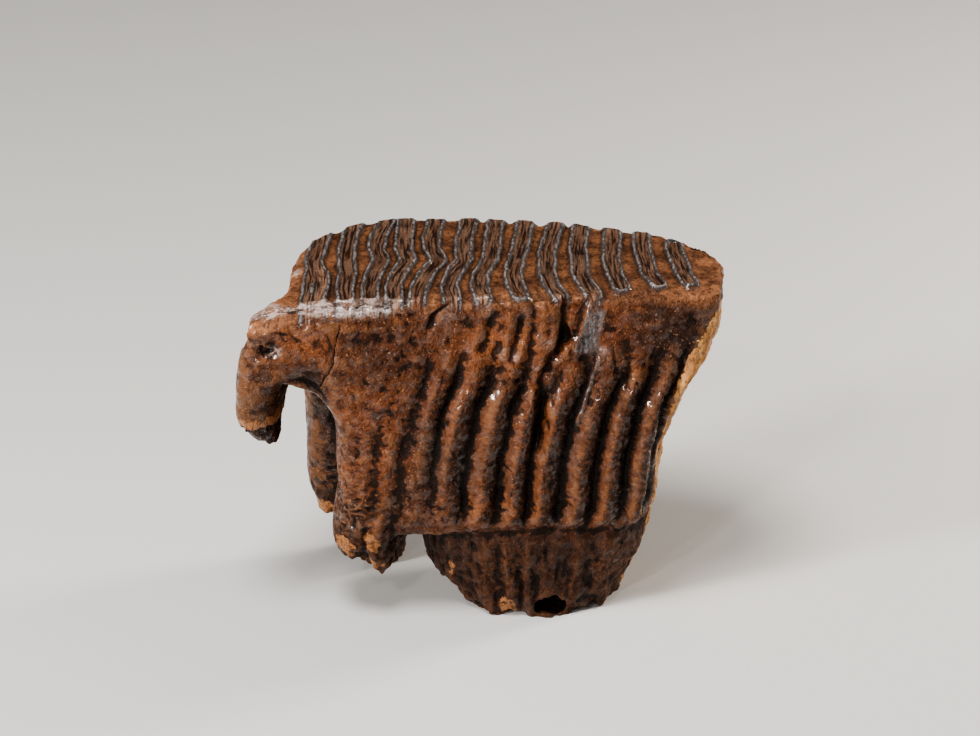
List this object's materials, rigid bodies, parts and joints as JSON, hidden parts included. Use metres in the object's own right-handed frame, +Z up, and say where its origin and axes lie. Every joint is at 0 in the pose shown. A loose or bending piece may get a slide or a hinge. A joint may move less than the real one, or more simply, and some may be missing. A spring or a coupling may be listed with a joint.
{
  "type": "fossil mammoth molar",
  "caption": "Heavy worn fossil mammoth molar with a ridged chewing surface, ribbed sides and broken root stumps that it stands on.",
  "frame": {"origin": "on the ground under the middle of the tooth's bounding box, where its broken roots rest", "axes": "+X along the tooth from its front root to its broken back end, +Z up to the chewing surface, -Y towards the flatter long side"},
  "size_m": [0.221, 0.0952, 0.1742],
  "materials": {
    "fossil": "varnished brown fossil cement and enamel"
  },
  "bodies": {
    "root": {"mammoth_tooth": "fossil"}
  },
  "joints": []
}
